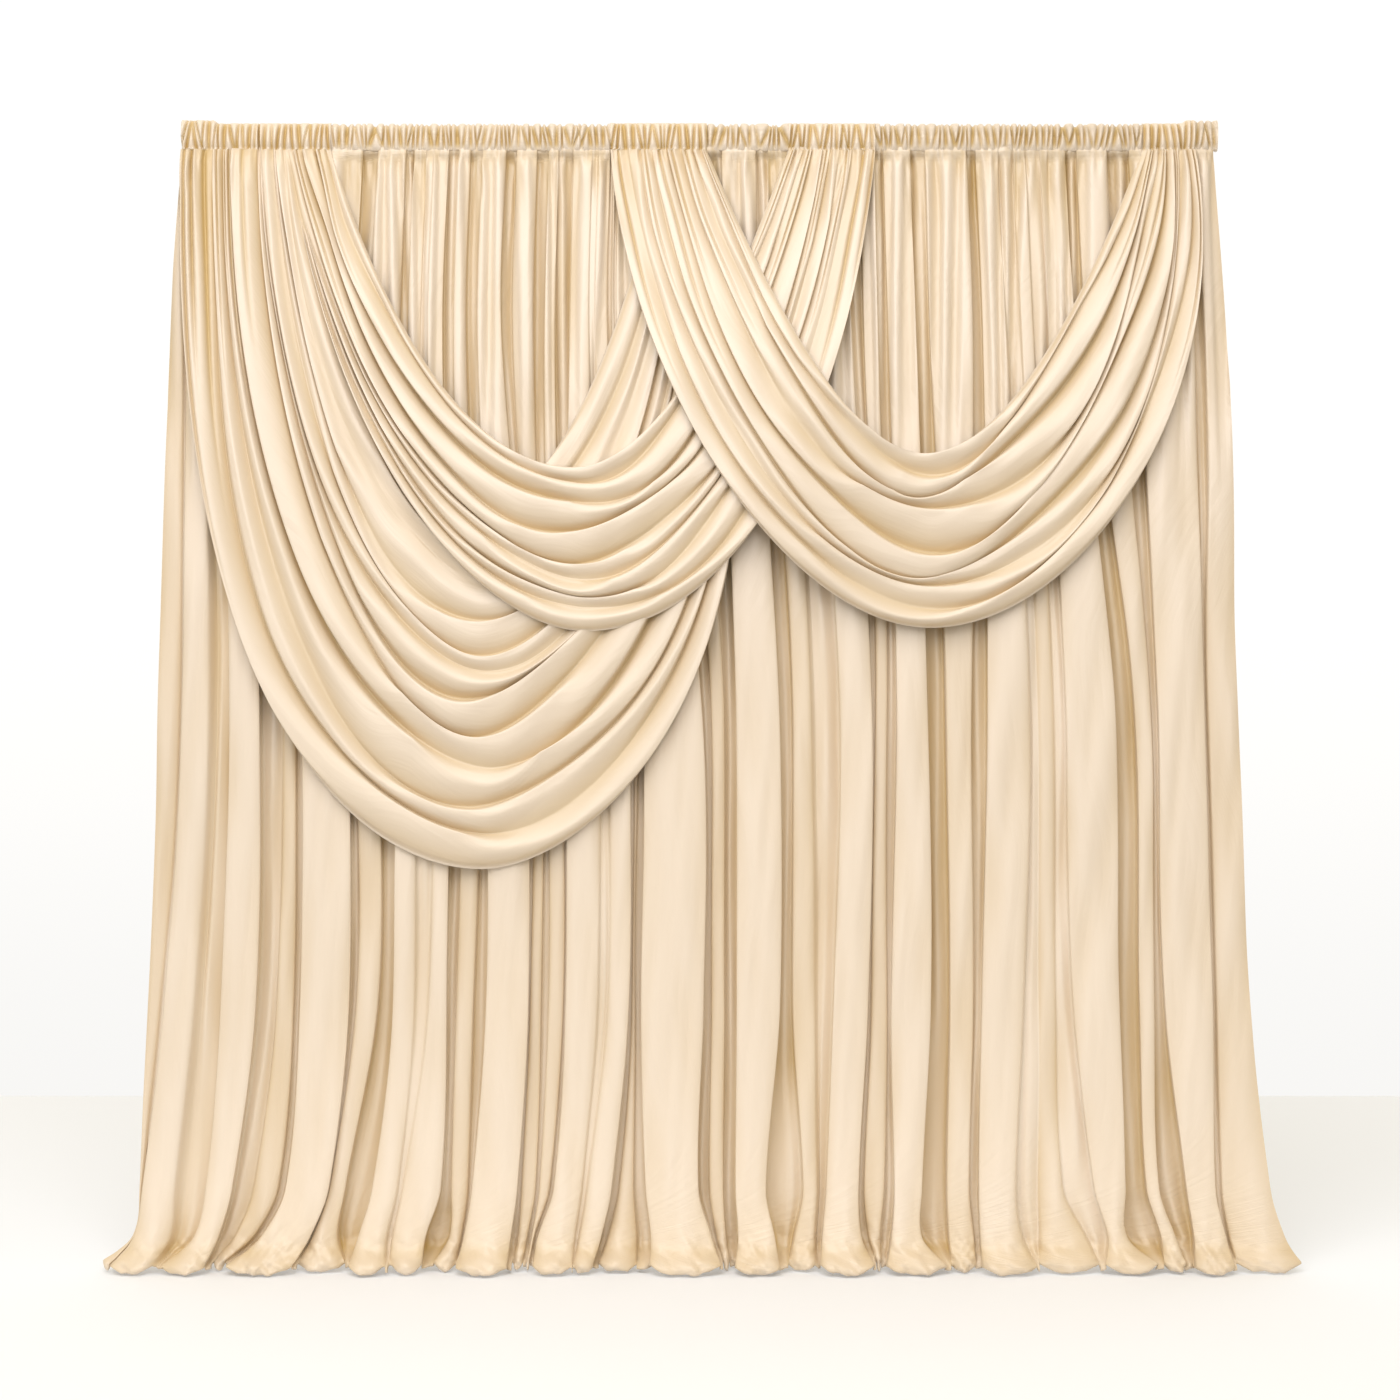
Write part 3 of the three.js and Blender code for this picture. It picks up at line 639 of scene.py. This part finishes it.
SWAG_C = {
    "relief": {"upper": 36, "lower": 36, "from": 0, "left": 0.5, "right": 1.0},
    "dip_x": (583, 598),
    "left": {"lean": (161, 41), "drop": (0.5, 0.5), "reach": (0.36, 0.45)},
    "right": {"lean": (-154, 102), "drop": (0.5, 0.55), "reach": (0.36, 0.55)},
    "lift": {"left": 70, "dip": 18, "right": 8},
    "pinch": {"left": 0.75, "right": 0.75},
    "stack": {"left": 2.8, "right": 0},
    "points": 22,
    "pleats": {
        "left": [(0.5, 260, 8), (2.5, 380, 9), (3.5, 300, 9), (4.4, 460, 11), (5.5, 300, 9), (7.4, 480, 9)],
        "right": [(1.5, 300, 8), (3.5, 360, 9), (5.5, 300, 8), (7.5, 480, 10)],
    },
    "creases": [
        {"left": 18, "dip": 2128, "right": 1155, "deep": 1.0},
        {"left": 2, "dip": 2087, "right": 1168, "deep": 0.8},
        {"left": -18, "dip": 2023, "right": 1183, "deep": 1.0},
        {"left": -48, "dip": 1964, "right": 1199, "deep": 0.85},
        {"left": -85, "dip": 1887, "right": 1216, "deep": 1.0},
        {"left": -125, "dip": 1810, "right": 1235, "deep": 1.0},
        {"left": -155, "dip": 1775, "right": 1250, "deep": 0.8},
        {"left": -188, "dip": 1731, "right": 1270, "deep": 0.8},
        {"left": -234, "dip": 1677, "right": 1292, "deep": 1.0},
    ],
}
HANG_FORWARD = 20
LIFT_RUN = 600
CLEARANCE = 4
FOLDS_BEHIND, NARROW_FOLDS_BEHIND = 42, 9
LIP = 0.22
# Painted shade: how much darker the colour gets toward a crease and in the long pleats' slits.
CREASE_PAINTED_SHADE, SLIT_PAINTED_SHADE = 0.8, 0.45
LONG_PLEAT_WIDTH = 0.045
TURNED_UNDER = 5
STEPS_TO_DIP = 136
END_HEIGHTS = [2999, 2996, 2992, 2985, 2976, 2966, 2956, 2948, 2941, 2935, 2930]


def hanging_line(swag, side, t):
    """Where every crease is at t, from 0 at the heading to 1 at its lowest point: across and height."""
    start, dip = (np.array([crease[name] for crease in swag["creases"]], float)[:, None] for name in (side, "dip"))
    share = (dip[0] - dip) / (dip[0] - dip[-1])
    ways = [swag[side]["lean"], swag[side]["drop"], swag[side]["reach"], swag["dip_x"]]
    lean, drop, reach, dip_x = (upper + (lower - upper) * share for upper, lower in ways)
    weights = [(1 - t) ** 3, 3 * t * (1 - t) ** 2, 3 * t * t * (1 - t), t**3]
    across = [start, start + lean, dip_x + (start - dip_x) * reach, dip_x]
    height = [STITCH_LINE + 0 * dip, STITCH_LINE - drop * (STITCH_LINE - dip), dip, dip]
    return sum(w * x for w, x in zip(weights, across)), sum(w * z for w, z in zip(weights, height))


def between(values, place):
    """Values given at each crease, read at places between creases, column by column."""
    low = np.clip(np.floor(place).astype(int), 0, len(values) - 2)
    share = place - low
    columns = np.arange(values.shape[1])[None, :]
    return values[low, columns] * (1 - share) + values[low + 1, columns] * share


def crispness(deep):
    """How sharp a crease of this depth is, from 0 to 1."""
    return np.clip((deep - 0.5) / 0.35, 0, 1)


def fold_bulge(f, above, below):
    """A fold's bulge from the crease above it (f = 0) to the one below (f = 1), each with its depth: a deep crease
    has the fold's lip close under it and a round fall behind the lip below, a shallow one only a soft hollow."""
    lip = 1 - np.sin(np.pi / 2 * np.clip(f / 0.26, 0, 1))
    hollow = np.cos(np.pi / 2 * np.clip(f / 0.6, 0, 1)) ** 2
    tuck = np.clip((f - 0.26) / 0.74, 0, 1) ** 2.6
    dip = np.cos(np.pi / 2 * np.clip((1 - f) / 0.6, 0, 1)) ** 2
    near = above * (crispness(above) * lip + (1 - crispness(above)) * hollow)
    far = below * (crispness(below) * tuck + (1 - crispness(below)) * dip)
    return 1 - near - far


def places(swag):
    """Places down a swag's cloth, counted in creases, closer together in the lowest fold."""
    last, points = len(swag["creases"]) - 2, swag["points"]
    return np.concatenate([np.arange(last * points) / points, last + np.arange(2 * points + 1) / (2 * points)])


def swag_half(swag, side, t, seed):
    """One half of a swag, from the stitch line to its lowest points: across, forward, height and painted shade."""
    across, height = hanging_line(swag, side, t)
    folds, place = len(swag["creases"]) - 1, places(swag)[:, None]
    fold = np.minimum(np.floor(place[:, 0]).astype(int), folds - 1)
    f, edge = place - fold[:, None], np.minimum(place, folds - place)
    along = (t if side == "left" else 2 - t)[None, :]

    # Each fold's profile: its lip turns up near the heading and down where the cloth hangs
    hanging = ease((t - 0.42) / 0.42)[None, :]
    fade = np.clip(1 + 0.35 * drift(seed + 2, along * 0.9, np.arange(folds + 1)[:, None] / 2.3), 0.62, 1)
    fade[[0, -1]] = 1
    deep = np.array([crease["deep"] for crease in swag["creases"]])[:, None] * fade
    above, below = deep[fold], deep[fold + 1]
    bulge = hanging * fold_bulge(f, above, below) + (1 - hanging) * fold_bulge(1 - f, below, above)
    turn_down, turn_up = fold_bulge(f, 1, 1) * crispness(above), fold_bulge(1 - f, 1, 1) * crispness(below)
    lip = LIP * ((1 - hanging) * turn_up**2 - hanging * turn_down**2)
    wander = 0.3 * np.clip(edge, 0, 1) * ease(t / 0.15)[None, :] * drift(seed + 3, along * 1.1, place / 4)
    moved = np.clip(place + lip + wander, 0, folds)
    x, z = between(across, moved), between(height, moved)

    # How deep the folds are: less so where they are narrow
    width = np.hypot(np.diff(across, axis=0), np.diff(height, axis=0))[fold]
    relief = np.where(fold < swag["relief"]["from"], swag["relief"]["upper"], swag["relief"]["lower"])[:, None]
    relief = relief * (swag["relief"][side] + (1 - swag["relief"][side]) * ease((t - 0.3) / 0.6)[None, :])
    relief = np.minimum(relief, np.minimum(0.9 * width * np.minimum(1, width / 16), 12 + 0.45 * width))
    relief = relief * (0.92 + 0.12 * drift(seed, along * 1.5, fold[:, None] / 3))
    raised = relief * bulge * ease(edge / 0.25 + bulge)

    # How far forward the cloth hangs, clear of the curtain and of the swags behind it
    drawn = ease((STITCH_LINE - z) / LIFT_RUN)
    opened = swag["pinch"][side] + (1 - swag["pinch"][side]) * drawn
    lift = swag["lift"][side] + (swag["lift"]["dip"] - swag["lift"][side]) * ease((t - 0.5) / 0.5)[None, :]
    lift = lift * (1 - 0.5 * place / folds * (1 - ease((STITCH_LINE - z - 250) / 400)))
    clear = FOLDS_BEHIND * fold_depth(z) + CLEARANCE + NARROW_FOLDS_BEHIND * narrow_folds(z)
    stand = np.maximum(HANG_FORWARD, clear) + swag["stack"][side] * (1 - ease(t))[None, :] + lift * drawn

    # Pleats that run down from the gathered end
    pleats, slit = short_pleats(between(across, place + 0 * t)[:, :1], z), 0
    for at, length, pleat_depth in swag["pleats"][side]:
        long_pleat = np.exp(-abs((place - at) / LONG_PLEAT_WIDTH) ** 1.4 - ((STITCH_LINE - z) / length) ** 4)
        pleats, slit = pleats + 1.5 * pleat_depth * long_pleat, slit + long_pleat
    wrinkle = 1.5 * ease(t / 0.1)[None, :] * drift(seed + 4, along * 4, place * 0.9)
    forward = stand + raised * opened + wrinkle + 2 - 0.7 * pleats
    # Painted shade in the creases, the pleats and the long pleats' slits; less at the swag's edges and where folds are
    # shallow.
    painted_shade = CREASE_PAINTED_SHADE * (1 - bulge) * np.clip(relief / 24, 0, 1) * ease(edge / 0.2)
    return x, forward, z, painted_shade + pleats / 45 + SLIT_PAINTED_SHADE * slit


def swag_end(swag, side):
    """The gathered end over the heading, from its top edge down to the stitch line."""
    starts = [crease[side] for crease in swag["creases"]]
    x = np.interp(places(swag), np.arange(len(starts)), starts)[:, None]
    z = np.array(END_HEIGHTS, float)[None, :]
    pull = gather_pull(x, z)
    forward = pocket_front(z) + CLEARANCE + 5 * ease((2990 - z) / 50) + swag["stack"][side] - pull
    # The end's gathers get the same painted shade as the heading's.
    return x + 0 * z, forward, bunched(x, z), gather_painted_shade(pull)


def swag_piece(name, swag, seed):
    """A whole swag from its left end to its right one, with both its edges turned under."""
    t = np.linspace(0, 1, STEPS_TO_DIP + 1)
    left, right = (swag_half(swag, side, t, seed) for side in ("left", "right"))
    left_end, right_end = (swag_end(swag, side) for side in ("left", "right"))
    parts = [left_end, left, [a[:, -2::-1] for a in right], [a[:, ::-1] for a in right_end]]
    across, forward, height, painted_shade = (np.concatenate([part[k] for part in parts], axis=1) for k in range(4))
    forward = np.vstack([forward[:1] - TURNED_UNDER, forward, forward[-1:] - TURNED_UNDER])
    across, height, painted_shade = (np.vstack([way[3:4], way, way[-4:-3]]) for way in (across, height, painted_shade))
    return cloth_piece(name, across, forward, height, painted_shade, grain="right")


rear_swag = finished(swag_piece("rear_swag", SWAG_A, 301), "swag_a")
middle_swag = finished(swag_piece("middle_swag", SWAG_B, 331), "swag_b")
front_swag = finished(swag_piece("front_swag", SWAG_C, 361), "swag_c")

# Studio. A white floor under the hem and white all round, lit from the front by a broad soft sun and a softbox, and
# a camera straight in front of the backdrop at half its height. Sizes are in metres here.
FLOOR = -ROD_AXIS / 1000
FLOOR_WHITE = (0.86, 0.905, 0.99, 1)
WALL_WHITE, FRONT_WARM = (1, 0.99, 0.97, 1), (1, 0.88, 0.66, 1)
LAMP_WHITE = (1.0, 1.0, 1.04)
CAMERA_BACK, CAMERA_HEIGHT, CAMERA_SENSOR = 6.65, 1.49, 36
FRAME_WIDTH, FRAME_AWAY = 3.64, 6.6

bpy.ops.object.select_all(action="DESELECT")
bpy.ops.mesh.primitive_plane_add(size=1, location=(0, 0.75, FLOOR))
floor = bpy.context.object
floor.scale = (9.6, 4.3, 1)
bpy.ops.object.transform_apply(location=True, rotation=False, scale=True)
floor.name = "studio_floor"
paint = bpy.data.materials.new("studio_white")
paint.use_nodes = True
paint.node_tree.nodes["Principled BSDF"].inputs["Base Color"].default_value = FLOOR_WHITE
paint.node_tree.nodes["Principled BSDF"].inputs["Roughness"].default_value = 0.9
floor.data.materials.append(paint)

world = bpy.data.worlds.new("studio")
bpy.context.scene.world = world
world.use_nodes = True
room = Shade(world.node_tree)


def blend(value, start, end, low, high):
    """From low to high, smoothly, as the value goes from start to end."""
    smooth = {"interpolation_type": "SMOOTHSTEP"}
    return room.node("ShaderNodeMapRange", smooth, {0: value, 1: start, 2: end, 3: low, 4: high})


facing = room.node("ShaderNodeTexCoord")
back, up = (room.node("ShaderNodeSeparateXYZ", None, {0: facing}, output=axis) for axis in ("Y", "Z"))
wall = blend(back, 0.2, 0.7, 0.0, 1.0)
sky = blend(up, -0.2, 0.9, 0.36, 0.95)
cove = blend(up, -0.16, 0.06, 0.94, 1.04)
tint = room.node("ShaderNodeMix", {"data_type": "RGBA"}, {0: wall, 6: FRONT_WARM, 7: WALL_WHITE}, output=2)
background = world.node_tree.nodes["Background"]
world.node_tree.links.new(tint.socket, background.inputs["Color"])
world.node_tree.links.new((sky + wall * (cove - sky)).socket, background.inputs["Strength"])

bpy.ops.object.light_add(type="SUN", rotation=(math.radians(64), 0, math.radians(-12)))
key = bpy.context.object
key.data.angle = math.radians(75)
key.data.energy = 1.2
key.data.color = LAMP_WHITE
bpy.ops.object.light_add(type="AREA", location=(-0.5, -3.2, 0.9), rotation=(math.radians(69.5), 0, math.radians(-8)))
softbox = bpy.context.object
softbox.data.size = 3
softbox.data.energy = 68
softbox.data.color = LAMP_WHITE

bpy.ops.object.camera_add(location=(0, -CAMERA_BACK, FLOOR + CAMERA_HEIGHT), rotation=(math.pi / 2, 0, 0))
camera = bpy.context.object
camera.data.sensor_width = CAMERA_SENSOR
camera.data.lens = CAMERA_SENSOR * FRAME_AWAY / FRAME_WIDTH
bpy.context.scene.camera = camera
bpy.context.scene.view_settings.view_transform = "Standard"
